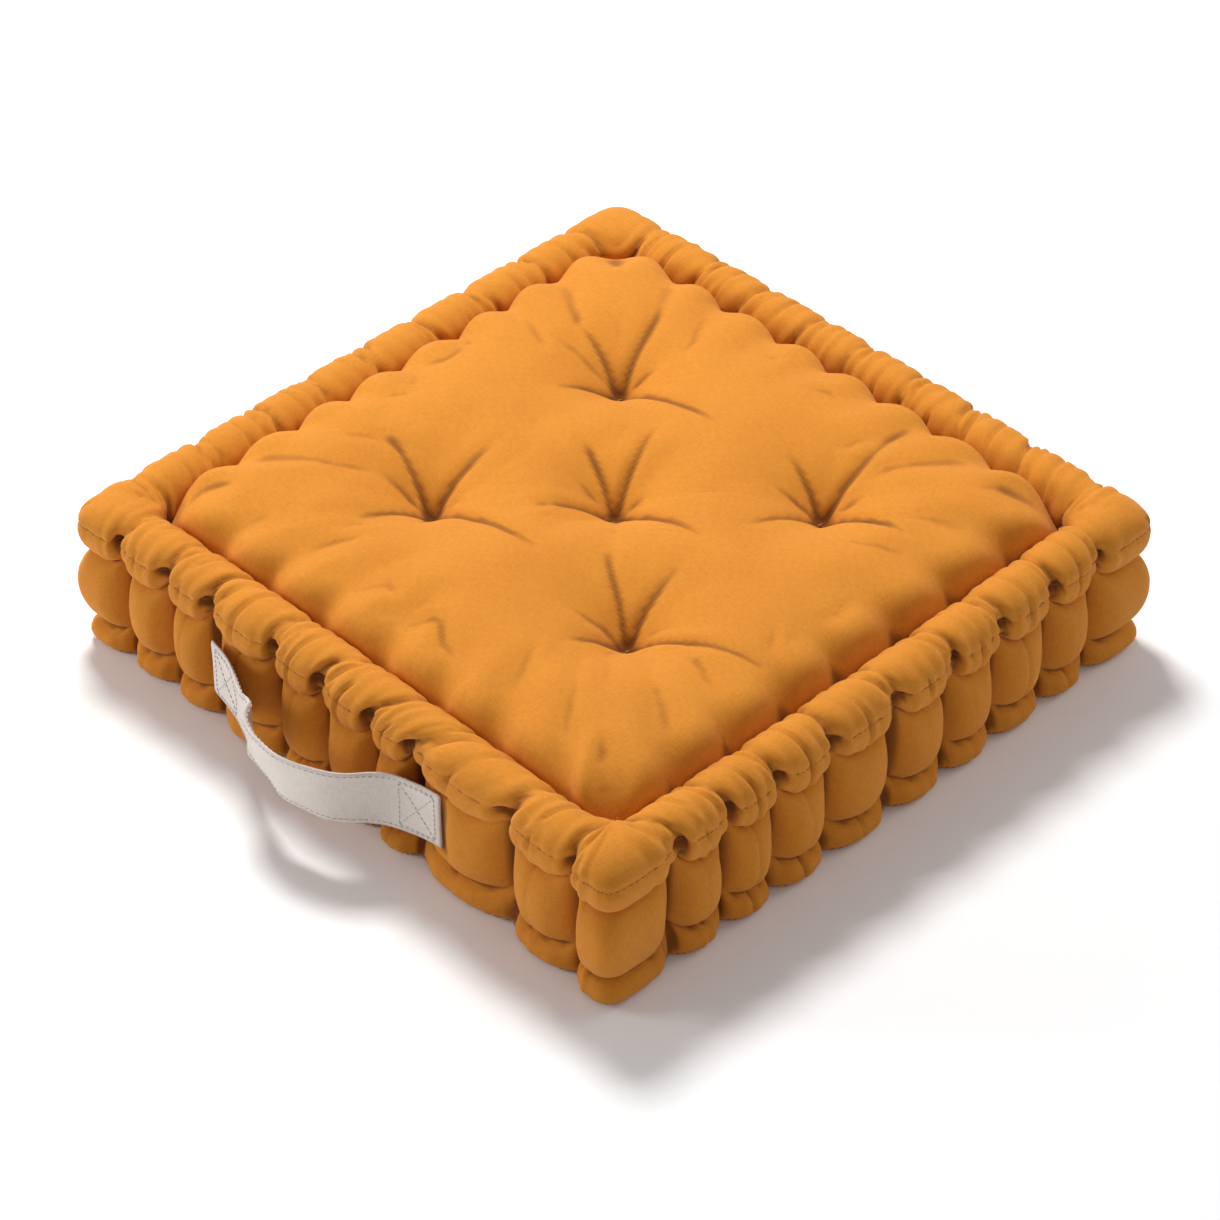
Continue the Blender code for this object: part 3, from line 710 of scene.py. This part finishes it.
def strap_stitch_place(start, end, face):
    """Line on the strap between two (travel, width) points, on its outer or inner face."""
    start = np.array(start)
    end = np.array(end)
    length = math.hypot((end - start)[0], (end - start)[1] * STRAP_HALF_WIDTH)

    def place(distance):
        travel, width = start + (end - start) * min(1.0, distance / length)
        _, _, out, _ = strap_frame(travel)
        lift = face * (STRAP_HALF_THICKNESS * 1.2 + 0.00015)
        return strap_point(travel, width, lift), out * face
    return place, length


def build_strap_stitches(material):
    edges = Stitches(0.00032)
    for width in (-0.86, 0.86):
        for face in (1, -1):
            place, length = strap_stitch_place((0.004, width), (STRAP_LENGTH - 0.004, width), face)
            edges.run_along(place, length, 0.0036)
    edge_piece = edges.build("strap_edge_stitching", material)
    patches = []
    for name, first, last in (("right", 0.004, PATCH_LENGTH - 0.003),
                              ("left", STRAP_LENGTH - PATCH_LENGTH + 0.003, STRAP_LENGTH - 0.004)):
        box = Stitches(0.00032)
        low, high = -0.80, 0.80
        corners = [(first, low), (last, low), (last, high), (first, high)]
        lines = [(corners[k], corners[(k + 1) % 4]) for k in range(4)]
        lines += [(corners[0], corners[2]), (corners[1], corners[3])]
        for start, end in lines:
            place, length = strap_stitch_place(start, end, 1)
            box.run_along(place, length, 0.0034)
        patches.append(box.build("strap_box_stitching_" + name, material))
    return edge_piece, patches


def new_piece(name, points, faces, material):
    mesh = bpy.data.meshes.new(name)
    mesh.from_pydata((np.array(points, dtype=float) + CENTRE).tolist(), [],
                     [list(face) for face in faces])
    mesh.materials.append(material)
    piece = bpy.data.objects.new(name, mesh)
    bpy.context.scene.collection.objects.link(piece)
    mesh.shade_smooth()
    return piece


class Nodes:
    """Small helper that builds a shader tree."""

    def __init__(self, name, roughness, sheen):
        self.material = bpy.data.materials.new(name)
        self.material.use_nodes = True
        self.tree = self.material.node_tree
        self.shader = self.tree.nodes["Principled BSDF"]
        self.shader.inputs["Roughness"].default_value = roughness
        self.shader.inputs["Sheen Weight"].default_value = sheen
        self.shader.inputs["Sheen Roughness"].default_value = 0.5
        self.shader.inputs["Specular IOR Level"].default_value = 0.25

    def add(self, kind, inputs=None, **settings):
        node = self.tree.nodes.new(kind)
        for key, value in settings.items():
            setattr(node, key, value)
        for key, value in (inputs or {}).items():
            if isinstance(value, bpy.types.NodeSocket):
                self.tree.links.new(value, node.inputs[key])
            else:
                node.inputs[key].default_value = value
        return node

    def math(self, operation, first, second=0.0):
        return self.add("ShaderNodeMath", {0: first, 1: second}, operation=operation).outputs[0]

    def scaled(self, vector, scale):
        return self.add("ShaderNodeVectorMath", {0: vector, 1: scale},
                        operation="MULTIPLY").outputs[0]

    def noise(self, vector, scale, detail=2.0):
        node = self.add("ShaderNodeTexNoise", {"Vector": vector, "Scale": scale, "Detail": detail})
        return node.outputs["Fac"]


def cloth_material(name, light, dark, crease_shade_colour, thread, roughness, sheen, bump):
    """Plain weave: crossed threads, uneven yarn, soft mottling, and painted shade darkening the
    creases.
    """
    nodes = Nodes(name, roughness, sheen)
    cloth = nodes.add("ShaderNodeUVMap", uv_map="cloth").outputs[0]
    parts = nodes.add("ShaderNodeSeparateXYZ", {0: cloth})
    turns = 2 * math.pi / thread
    warp = nodes.math("SINE", nodes.math("MULTIPLY", parts.outputs[0], turns))
    weft = nodes.math("SINE", nodes.math("MULTIPLY", parts.outputs[1], turns))
    weave = nodes.math("MULTIPLY", warp, weft)
    warp_yarn = nodes.noise(nodes.scaled(cloth, (1.0, 0.22, 1.0)), 0.7 / thread, 2.0)
    weft_yarn = nodes.noise(nodes.scaled(cloth, (0.22, 1.0, 1.0)), 0.7 / thread, 2.0)
    mottle = nodes.noise(cloth, 22.0, 3.0)
    fuzz = nodes.noise(cloth, 700.0, 2.0)

    yarn = nodes.math("MULTIPLY", nodes.math("ADD", warp_yarn, weft_yarn), 0.5)
    tone = nodes.math("MULTIPLY", yarn, 0.75)
    tone = nodes.math("ADD", tone, nodes.math("MULTIPLY", mottle, 0.25))
    tone = nodes.math("ADD", tone, nodes.math("MULTIPLY", weave, 0.03))
    ramp = nodes.add("ShaderNodeValToRGB", {"Fac": tone})
    ramp.color_ramp.elements[0].position = 0.30
    ramp.color_ramp.elements[0].color = (*dark, 1)
    ramp.color_ramp.elements[1].position = 0.70
    ramp.color_ramp.elements[1].color = (*light, 1)
    # Painted shade: the crease attribute mixes the colour towards a dark shade colour in the creases,
    # where shade falls.
    crease = nodes.add("ShaderNodeAttribute", attribute_name="crease").outputs["Fac"]
    crease_shaded = nodes.add("ShaderNodeMix", {0: crease, 6: ramp.outputs["Color"], 7: (*crease_shade_colour, 1)},
                        data_type="RGBA")
    nodes.tree.links.new(crease_shaded.outputs[2], nodes.shader.inputs["Base Color"])

    relief = nodes.math("ADD", nodes.math("MULTIPLY", weave, 0.25), nodes.math("MULTIPLY", yarn, 1.0))
    relief = nodes.math("ADD", relief, nodes.math("MULTIPLY", fuzz, 0.35))
    node = nodes.add("ShaderNodeBump", {"Height": relief, "Strength": bump, "Distance": 0.0004})
    nodes.tree.links.new(node.outputs["Normal"], nodes.shader.inputs["Normal"])
    return nodes.material


def thread_material(name, colour):
    """Twisted thread: fine slanting plies."""
    nodes = Nodes(name, 0.8, 0.2)
    place = nodes.add("ShaderNodeTexCoord").outputs["Object"]
    plies = nodes.noise(nodes.scaled(place, (1.0, 1.0, 1.4)), 1800.0, 1.0)
    ramp = nodes.add("ShaderNodeValToRGB", {"Fac": plies})
    ramp.color_ramp.elements[0].position = 0.3
    ramp.color_ramp.elements[0].color = (*[part * 0.75 for part in colour], 1)
    ramp.color_ramp.elements[1].position = 0.7
    ramp.color_ramp.elements[1].color = (*colour, 1)
    nodes.tree.links.new(ramp.outputs["Color"], nodes.shader.inputs["Base Color"])
    return nodes.material


def floor_material():
    nodes = Nodes("pale_floor", 0.7, 0.0)
    nodes.shader.inputs["Base Color"].default_value = (0.93, 0.93, 0.93, 1)
    return nodes.material


def press_under_strap(points):
    """Push the side in where the handle's sewn ends lie on it."""
    low = STRAP_HEIGHT - STRAP_HALF_WIDTH
    high = STRAP_HEIGHT + STRAP_HALF_WIDTH
    route_x = STRAP_LINE[::-1, 0]
    route_y = STRAP_LINE[::-1, 1]
    for number, (x, y, z) in enumerate(points):
        if y > -0.18 or not -0.12 < x < 0.10:
            continue
        right = smooth((x - 0.042) / 0.012) * smooth((0.0985 - x) / 0.010)
        left = smooth((-0.059 - x) / 0.012) * smooth((x + 0.115) / 0.010)
        beside = smooth((z - low + 0.008) / 0.008) * smooth((high + 0.008 - z) / 0.008)
        strength = (right + left) * beside
        wanted = float(np.interp(x, route_x, route_y)) + STRAP_HALF_THICKNESS + 0.0008
        if strength > 0 and y < wanted:
            points[number] = (x, y + (wanted - y) * strength, z)


def pucker_depth(gap, across, place, run):
    """Height of the gathers beside a pinch: across runs from the seam (0) to the groove (1)."""
    ends = np.abs(2 * np.clip(across, 0, 1) - 1)
    bend = 0.0030 * np.sin(across * 5 + run * 23)
    line = -0.0034 * np.exp(-((gap + bend) / 0.0020) ** 2) * (0.45 + 0.55 * ends)
    side = np.where(gap > 0, 1.0, 0.45)
    phase = 1.3 * np.sin(run * 31 + 0.4) + 2.0 * across
    wave = 1.6 * np.abs(np.sin(math.pi * gap / 0.0120 + phase)) - 1
    tuck_line = 0.0075 + 0.006 * (across - 0.4) + 0.0015 * np.sin(run * 19)
    tuck = 0.0034 * np.exp(-((gap - tuck_line) / 0.0013) ** 2)
    tuck = tuck * np.exp(-((across - 0.30 - 0.25 * np.sin(run * 29)) / 0.28) ** 2)
    gathers = 0.0030 * side * wave * np.exp(-np.abs(gap) / 0.016) * (0.45 + 0.55 * ends)
    return line - tuck + gathers


# Creases that run out from every tuft: direction in degrees, length, depth and bend in metres.
TUFT_CREASES = (
    (154, 0.075, 0.0036, 0.006),
    (108, 0.090, 0.0038, -0.008),
    (14, 0.105, 0.0036, -0.016),
    (-117, 0.065, 0.0030, 0.008),
    (62, 0.040, 0.0010, 0.0),
    (-50, 0.045, 0.0010, 0.004),
    (196, 0.055, 0.0012, -0.004),
)


def crease_depth(x, y, panel):
    """Sharp creases in the panel, each with a low ridge on both sides."""
    height = np.zeros_like(x)
    for number, (tuft_x, tuft_y) in enumerate(TUFTS):
        for order, (direction, length, depth, bend) in enumerate(TUFT_CREASES):
            vary = math.sin(number * 2.3 + order * 1.7)
            angle = math.radians(direction + 9 * vary)
            reach = length * (1 + 0.22 * math.sin(number * 1.1 + order * 2.9))
            along = (x - tuft_x) * math.cos(angle) + (y - tuft_y) * math.sin(angle)
            aside = (y - tuft_y) * math.cos(angle) - (x - tuft_x) * math.sin(angle)
            share = np.clip(along / reach, 0, 1)
            aside = aside - bend * share ** 2
            width = 0.0017 + 0.0042 * share
            fade = (1 - share) ** 1.4 * np.clip(along / 0.006, 0, 1) * (along < reach)
            valley = np.exp(-(aside / width) ** 2)
            ridge = np.exp(-((np.abs(aside) - 2.6 * width) / (1.4 * width)) ** 2)
            height += depth * fade * (0.18 * ridge - valley)
    return height * panel


def notch_creases(x, y, panel):
    """Sharp folds that run into the panel from each notch of the roll."""
    height = np.zeros_like(x)
    rim_inset, _ = roll_profile(1.0, 0.0)
    for side in range(4):
        along_side, out = turned(-side, x, y)
        depth = out + HALF_SIDE - rim_inset
        for index, place in enumerate(pinch_places(side, 1.0)):
            vary = math.sin(side * 2.1 + index * 2.7)
            reach = 0.034 + 0.014 * math.sin(side + index * 1.9)
            share = np.clip(depth / reach, 0, 1)
            aside = along_side - place - (0.25 * vary - place * 0.9) * depth
            width = 0.0022 + 0.0030 * share
            fade = (1 - share) ** 1.3 * np.clip(depth / 0.004, 0, 1)
            valley = np.exp(-(aside / width) ** 2)
            ridge = np.exp(-((np.abs(aside) - 2.4 * width) / (1.3 * width)) ** 2)
            height += (0.0005 + 0.0005 * vary) * fade * (0.20 * ridge - valley)
    return height * panel


def places_and_normals(mesh):
    places = np.empty(len(mesh.vertices) * 3)
    mesh.vertices.foreach_get("co", places)
    normals = np.empty(len(mesh.vertices) * 3)
    mesh.vertex_normals.foreach_get("vector", normals)
    return places.reshape(-1, 3), normals.reshape(-1, 3)


def ripple_seams(mesh, near_seam, near_pinch, gap, across, zone, panel):
    """Small puckers beside the seam and the pinches, and the line of the seam itself."""
    places, normals = places_and_normals(mesh)
    x, y, z = (places - CENTRE).T
    run = x + y
    wander = 0.9 * np.sin((x - y) * 61) + 0.7 * np.sin(run * 37 + 1.0)
    wave = 1.7 * np.abs(np.sin(run * math.pi / 0.0115 + wander)) - 1
    strength = 0.55 + 0.45 * np.sin(run * 97 + 0.6) * np.cos((x - y) * 53)
    pucker = wave * strength * np.exp(-near_seam / 0.0075) * (0.0007 + 0.0008 * near_pinch)
    line = -0.0013 * np.exp(-(near_seam / 0.0018) ** 2)
    gathers = pucker_depth(gap, across, places, run) * np.clip(zone, 0, 1)
    knot = -0.0046 * np.exp(-(gap / 0.0032) ** 2 - ((near_seam - 0.0015) / 0.0050) ** 2)
    places = places + normals * (pucker + line + gathers + knot)[:, None]
    places[:, 2] += crease_depth(x, y, np.clip(panel, 0, 1))
    places[:, 2] += notch_creases(x, y, np.clip(panel, 0, 1))
    places[:, 2] = np.maximum(places[:, 2], 0.0003)
    mesh.vertices.foreach_set("co", places.ravel())
    mesh.update()


def add_values(mesh, name, values):
    layer = mesh.attributes.new(name, "FLOAT", "POINT")
    layer.data.foreach_set("value", np.array(values, dtype=np.float32))


def read_values(mesh, name):
    values = np.empty(len(mesh.vertices), dtype=np.float32)
    mesh.attributes[name].data.foreach_get("value", values)
    return values.astype(float)


def softened(values, first, second, times):
    """Average every point with its neighbours, a number of times."""
    count = len(values)
    neighbours = np.bincount(first, minlength=count) + np.bincount(second, minlength=count)
    for _ in range(times):
        total = [np.bincount(first, values[second, k], count)
                 + np.bincount(second, values[first, k], count) for k in range(values.shape[1])]
        values = 0.4 * values + 0.6 * np.stack(total, axis=1) / neighbours[:, None]
    return values


def paint_crease_shade(mesh):
    """Store painted crease shade for every point: 0 on open cloth, up to 0.85 in a sharp crease."""
    places, normals = places_and_normals(mesh)
    ends = np.empty(len(mesh.edges) * 2, dtype=np.int32)
    mesh.edges.foreach_get("vertices", ends)
    first, second = ends.reshape(-1, 2).T
    near = softened(places, first, second, 4)
    wide = softened(near, first, second, 30)
    sharp = np.sum((near - places) * normals, axis=1) / 0.00022
    broad = np.sum((wide - near) * normals, axis=1) / 0.0022
    depth = np.clip(sharp, -0.3, 1.0) * 0.9 + np.clip(broad, -0.3, 1.0) * 0.5
    depth = softened(depth[:, None], first, second, 1)[:, 0]
    # Painted shade: the cover's material darkens towards its shade colour by this value, in sharp and
    # broad hollows.
    add_values(mesh, "crease", 0.85 * np.clip((depth - 0.30) / 0.80, 0, 1))


def build_cover(material):
    cover = Cover()
    cover.stuff()
    press_under_strap(cover.points)
    piece = new_piece("cover", cover.points, cover.faces, material)
    mesh = piece.data
    layer = mesh.uv_layers.new(name="cloth")
    layer.data.foreach_set("uv", np.array([uv for face in cover.cloth for uv in face]).ravel())
    far = 0.05
    values = {"near_seam": [], "near_pinch": [], "gap": [], "across": [], "zone": [], "panel": []}
    for kind, side, column, ring, share in cover.labels:
        on_roll = kind == "roll" or (kind == "band" and ring <= PILLOW_END)
        values["near_seam"].append(min(far, ring * 0.0042) if on_roll else far)
        values["near_pinch"].append(1 - smooth(share) if on_roll else 0.0)
        values["gap"].append(pinch_gap(side, column, MIDDLE - ring if kind == "roll" else MIDDLE))
        across = 0.0
        zone = 0.0
        if kind == "roll":
            across = ring / ROLL_CELLS
            zone = smooth((ROLL_CELLS - ring) / 2)
        elif kind == "band":
            across = 0.5 if ROLL_BASE_ROWS < ring < PILLOW_END else 0.1
            zone = 1.0 if ring <= ROLL_BASE_ROWS else 0.75
            zone = 0.55 if ROLL_BASE_ROWS + 1 < ring < PILLOW_END - 1 else zone
            zone *= smooth((BAND_ROWS - ring) / 2)
        values["panel"].append(smooth((ring - ROLL_CELLS - 1) / 3) if kind == "panel" else 0.0)
        values["across"].append(across)
        values["zone"].append(zone)
    for name, numbers in values.items():
        add_values(mesh, name, numbers)

    modifier = piece.modifiers.new("fine", "SUBSURF")
    modifier.levels = 1
    modifier.uv_smooth = "NONE"
    evaluated = piece.evaluated_get(bpy.context.evaluated_depsgraph_get())
    fine = bpy.data.meshes.new_from_object(evaluated)
    piece.modifiers.clear()
    piece.data = fine
    bpy.data.meshes.remove(mesh)
    fine.name = "cover"
    fine.shade_smooth()
    ripple_seams(fine, *[read_values(fine, name) for name in values])
    # Painted crease shade for the cover's material.
    paint_crease_shade(fine)
    return piece, cover


def surface_place(mesh, number):
    vertex = mesh.vertices[number]
    return np.array(vertex.co) - CENTRE, np.array(vertex.normal)


def build_seam_stitches(name, mesh, ring, material):
    stitches = Stitches(0.00024)
    for k in range(RIM):
        here, out = surface_place(mesh, ring[k])
        after, _ = surface_place(mesh, ring[(k + 1) % RIM])
        step = after - here
        if np.linalg.norm(step) > 0.0015:
            lift = out * 0.0003
            stitches.add(here + step * 0.12 + lift, here + step * 0.82 + lift, out)
    return stitches.build(name, material)


def build_pinch_twine(name, mesh, rings, material):
    """The bit of twine that shows in each pinch."""
    twine = Stitches(0.0006)
    for ring in rings:
        for k, number in enumerate(ring):
            here, out = surface_place(mesh, number)
            side, column = divmod(k, len(ring) // 4)
            half = len(ring) // 8
            column -= half
            if column % PINCH_CELLS or abs(column) > LAST_PINCH * PINCH_CELLS:
                continue
            along = np.array((*turned(side, 1.0, 0.0), 0.0))
            twine.add(here - along * 0.0022, here + along * 0.0022, out)
    return twine.build(name, material)


def build_tuft_stitches(mesh, cover, material):
    pieces = []
    for name, target in zip(TUFT_NAMES, TUFTS):
        stitches = Stitches(0.0006)
        for index in (cover.top_index, cover.bottom_index):
            cells = [index[corner] for corner in index]
            places = np.array([cover.points[number][:2] for number in cells])
            number = cells[int(np.argmin(np.linalg.norm(places - target, axis=1)))]
            here, _ = surface_place(mesh, number)
            out = np.array((0, 0, 1.0 if index is cover.top_index else -1.0))
            reach = 0.0024
            here = here + out * 0.0008
            stitches.add(here - (reach, 0, 0), here + (reach, 0, 0), out)
            stitches.add(here - (0, reach, 0) + out * 0.0006, here + (0, reach, 0) + out * 0.0006, out)
        pieces.append((name, stitches.build("tuft_stitch_" + name, material)))
    return pieces


def aim(thing, target):
    direction = Vector(target) - thing.location
    thing.rotation_euler = direction.to_track_quat("-Z", "Y").to_euler()


def build_stage():
    scene = bpy.context.scene
    scene.view_settings.view_transform = "Standard"
    reach = 6.0
    corners = [(-reach, -reach, 0), (reach, -reach, 0), (reach, reach, 0), (-reach, reach, 0)]
    floor_mesh = bpy.data.meshes.new("floor")
    floor_mesh.from_pydata(corners, [], [(0, 1, 2, 3)])
    floor = bpy.data.objects.new("floor", floor_mesh)
    scene.collection.objects.link(floor)
    floor_mesh.materials.append(floor_material())

    world = bpy.data.worlds.new("studio")
    world.use_nodes = True
    world.node_tree.nodes["Background"].inputs["Color"].default_value = (1, 1, 1, 1)
    world.node_tree.nodes["Background"].inputs["Strength"].default_value = 0.31
    scene.world = world
    middle = CENTRE + (0, 0, 0.05)
    for name, place, power, width in (
        ("key", (-1.0, 0.5, 2.1), 52, 0.6),
        ("left", (-1.7, -1.6, 0.8), 22, 0.7),
        ("fill", (1.9, -0.6, 1.5), 2.5, 1.2),
        ("back", (0.9, 2.2, 1.5), 13, 1.2),
    ):
        lamp = bpy.data.lights.new(name, "AREA")
        lamp.energy = power
        lamp.size = width
        light = bpy.data.objects.new(name, lamp)
        light.location = place
        scene.collection.objects.link(light)
        aim(light, middle)

    lens = bpy.data.cameras.new("camera")
    lens.lens = 124.8
    lens.sensor_width = 36.0
    camera = bpy.data.objects.new("camera", lens)
    camera.location = CENTRE + (1.3824, -1.3610, 1.6685)
    scene.collection.objects.link(camera)
    aim(camera, CENTRE + (0.0222, -0.0239, 0.05))
    scene.camera = camera


OCHRE = (0.70, 0.266, 0.026)
OCHRE_DARK = (0.55, 0.190, 0.016)
# Painted shade: the colour the cotton is darkened towards in its creases.
OCHRE_CREASE_SHADE = (0.13, 0.030, 0.003)
CANVAS = (0.82, 0.75, 0.69)
CANVAS_DARK = (0.67, 0.60, 0.54)

# Two yarns of the weave, in metres.
COTTON_YARN = 0.0007
CANVAS_YARN = 0.0009

build_stage()
cotton = cloth_material("cotton_canvas", OCHRE, OCHRE_DARK, OCHRE_CREASE_SHADE, COTTON_YARN, 0.9, 0.05, 0.35)
canvas = cloth_material("handle_canvas", CANVAS, CANVAS_DARK, CANVAS_DARK, CANVAS_YARN, 0.9, 0.05, 0.6)
ochre_thread = thread_material("ochre_thread", (0.40, 0.145, 0.020))
pale_thread = thread_material("pale_thread", (0.72, 0.69, 0.65))

cover_piece, cover = build_cover(cotton)
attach(cover_piece, "cushion")
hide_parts("top_panel", "side_band", "bottom_panel", "core_filling",
            "top_roll_filling", "bottom_roll_filling")

fine = cover_piece.data
notch_ring = [cover.top_index[corner] for corner in ring_corners(ROLL_CELLS)]
for piece, node in (
    (build_seam_stitches("top_seam_stitches", fine, cover.seam, ochre_thread),
     "top_seam_thread"),
    (build_seam_stitches("bottom_seam_stitches", fine, cover.bottom_seam, ochre_thread),
     "bottom_seam_thread"),
    (build_pinch_twine("top_pinch_twine", fine, [notch_ring, cover.seam], ochre_thread),
     "top_roll_twine"),
    (build_pinch_twine("bottom_pinch_twine", fine, [cover.bottom_seam], ochre_thread),
     "bottom_roll_twine"),
):
    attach(piece, "cushion")
    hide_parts(node)
for name, piece in build_tuft_stitches(fine, cover, ochre_thread):
    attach(piece, "cushion")
    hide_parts("tuft_twine_" + name)

strap = build_strap(canvas)
edge_stitching, box_stitching = build_strap_stitches(pale_thread)
for piece in (strap, edge_stitching):
    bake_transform(piece)
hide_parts("handle_end_left", "handle_end_right", "handle_loop")
for piece, node in zip(box_stitching, ("handle_stitch_right", "handle_stitch_left")):
    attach(piece, "cushion")
    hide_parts(node)
